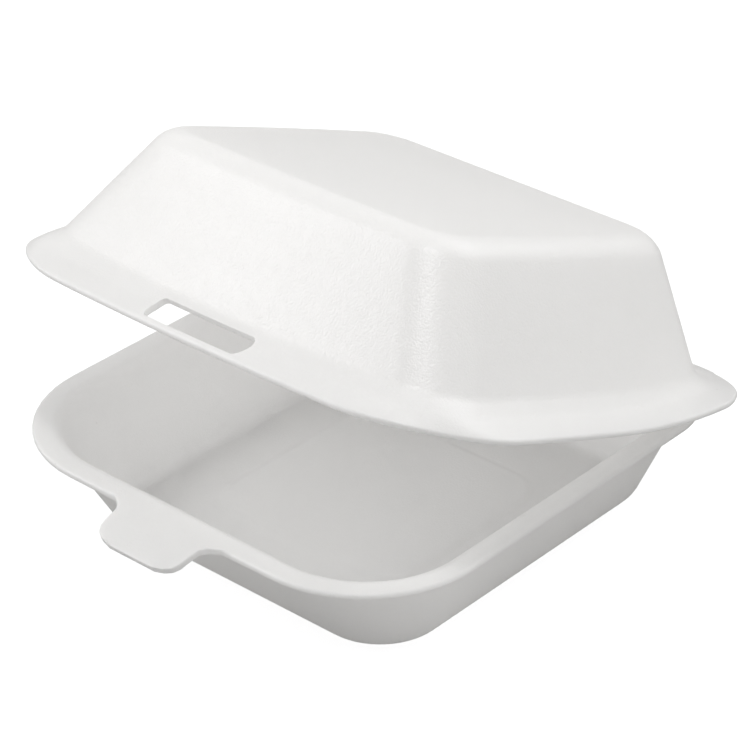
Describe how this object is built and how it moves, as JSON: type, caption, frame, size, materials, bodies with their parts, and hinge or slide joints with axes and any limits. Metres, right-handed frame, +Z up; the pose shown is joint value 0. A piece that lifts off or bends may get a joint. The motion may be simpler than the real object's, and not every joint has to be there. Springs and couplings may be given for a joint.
{
  "type": "foam clamshell container",
  "caption": "Hinged foam food box: a shallow sloping tray with a locking tab and a domed lid with a stepped rim and slot, joined along a rear crease.",
  "frame": {"origin": "centre of the tray's underside, on the surface it stands on", "axes": "+Z up, +X to the right, -Y to the front with the locking tab; the crease runs along X at the back"},
  "size_m": [0.172, 0.1687, 0.1148],
  "materials": {
    "foam": "satin white foam skin"
  },
  "bodies": {
    "tray": {"base_tray": "foam"},
    "lid": {"lid": "foam"}
  },
  "joints": [
    {"name": "lid_hinge", "type": "hinge", "parent": "tray", "child": "lid", "pos_m": [0, 0.07025, 0.034], "axis": [-1, 0, 0], "range_deg": [-19, 143]}
  ]
}
